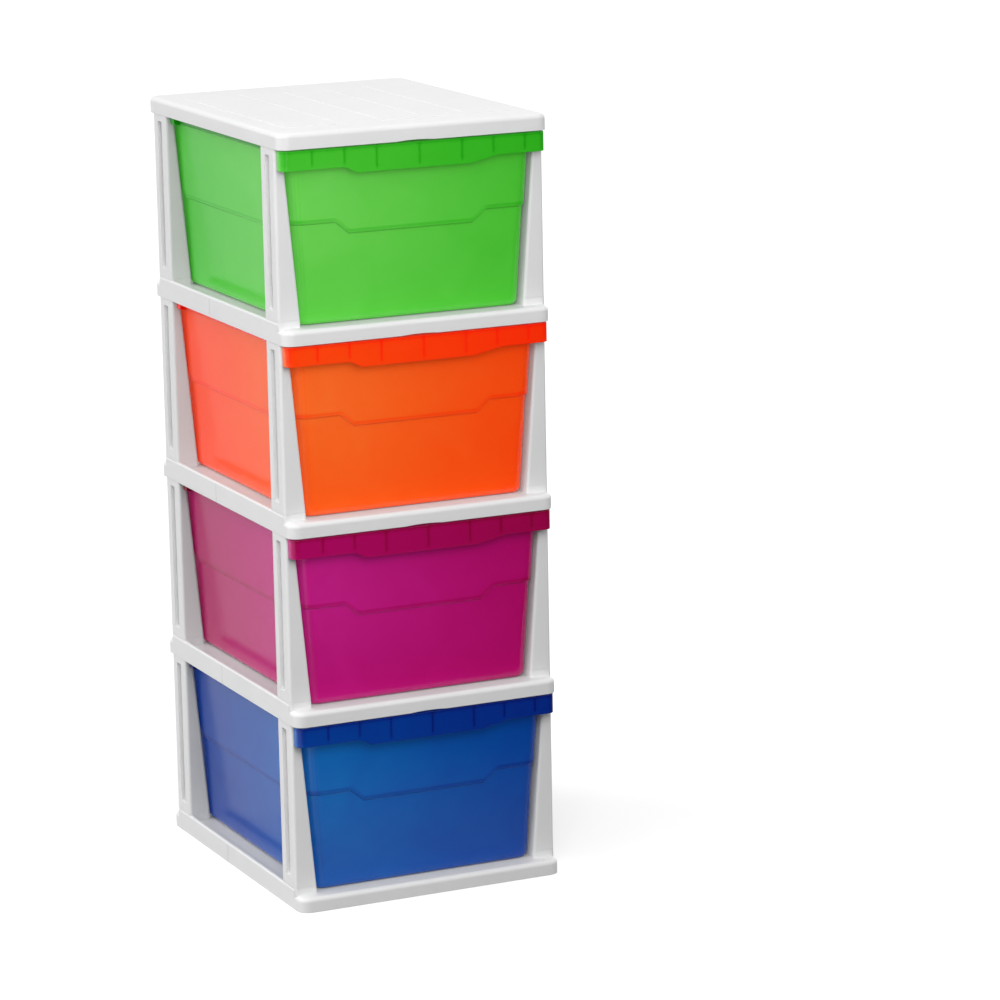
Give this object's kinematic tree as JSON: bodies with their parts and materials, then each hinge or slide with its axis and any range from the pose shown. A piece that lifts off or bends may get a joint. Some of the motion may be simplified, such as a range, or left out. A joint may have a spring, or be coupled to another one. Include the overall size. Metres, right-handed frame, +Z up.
{
  "type": "plastic drawer tower",
  "caption": "Plastic drawer tower with translucent tapered drawers sliding out on white moulded shelves held by hollow corner posts.",
  "frame": {"origin": "centre of the underside of the base shelf, on the floor", "axes": "+Z up, -Y towards the drawers' fronts, +X to the right seen from the front"},
  "size_m": [0.3, 0.375, 0.8182],
  "materials": {
    "white_polypropylene": "opaque white moulded polypropylene, satin",
    "blue_polypropylene": "translucent blue moulded polypropylene, smooth and slightly glossy",
    "magenta_polypropylene": "translucent magenta moulded polypropylene, smooth and slightly glossy",
    "orange_polypropylene": "translucent orange moulded polypropylene, smooth and slightly glossy",
    "green_polypropylene": "translucent green moulded polypropylene, smooth and slightly glossy"
  },
  "bodies": {
    "frame": {"base_shelf": "white_polypropylene", "shelf_lower": "white_polypropylene", "shelf_middle": "white_polypropylene", "shelf_upper": "white_polypropylene", "top_cover": "white_polypropylene", "post_1_front_left": "white_polypropylene", "post_1_front_right": "white_polypropylene", "post_1_rear_left": "white_polypropylene", "post_1_rear_right": "white_polypropylene", "post_2_front_left": "white_polypropylene", "post_2_front_right": "white_polypropylene", "post_2_rear_left": "white_polypropylene", "post_2_rear_right": "white_polypropylene", "post_3_front_left": "white_polypropylene", "post_3_front_right": "white_polypropylene", "post_3_rear_left": "white_polypropylene", "post_3_rear_right": "white_polypropylene", "post_4_front_left": "white_polypropylene", "post_4_front_right": "white_polypropylene", "post_4_rear_left": "white_polypropylene", "post_4_rear_right": "white_polypropylene"},
    "drawer_1_body": {"drawer_1": "blue_polypropylene"},
    "drawer_2_body": {"drawer_2": "magenta_polypropylene"},
    "drawer_3_body": {"drawer_3": "orange_polypropylene"},
    "drawer_4_body": {"drawer_4": "green_polypropylene"}
  },
  "joints": [
    {"name": "drawer_1_slide", "type": "slide", "parent": "frame", "child": "drawer_1_body", "axis": [0, -1, 0], "range_m": [0, 0.2575]},
    {"name": "drawer_2_slide", "type": "slide", "parent": "frame", "child": "drawer_2_body", "axis": [0, -1, 0], "range_m": [0, 0.2575]},
    {"name": "drawer_3_slide", "type": "slide", "parent": "frame", "child": "drawer_3_body", "axis": [0, -1, 0], "range_m": [0, 0.2575]},
    {"name": "drawer_4_slide", "type": "slide", "parent": "frame", "child": "drawer_4_body", "axis": [0, -1, 0], "range_m": [0, 0.2575]}
  ]
}
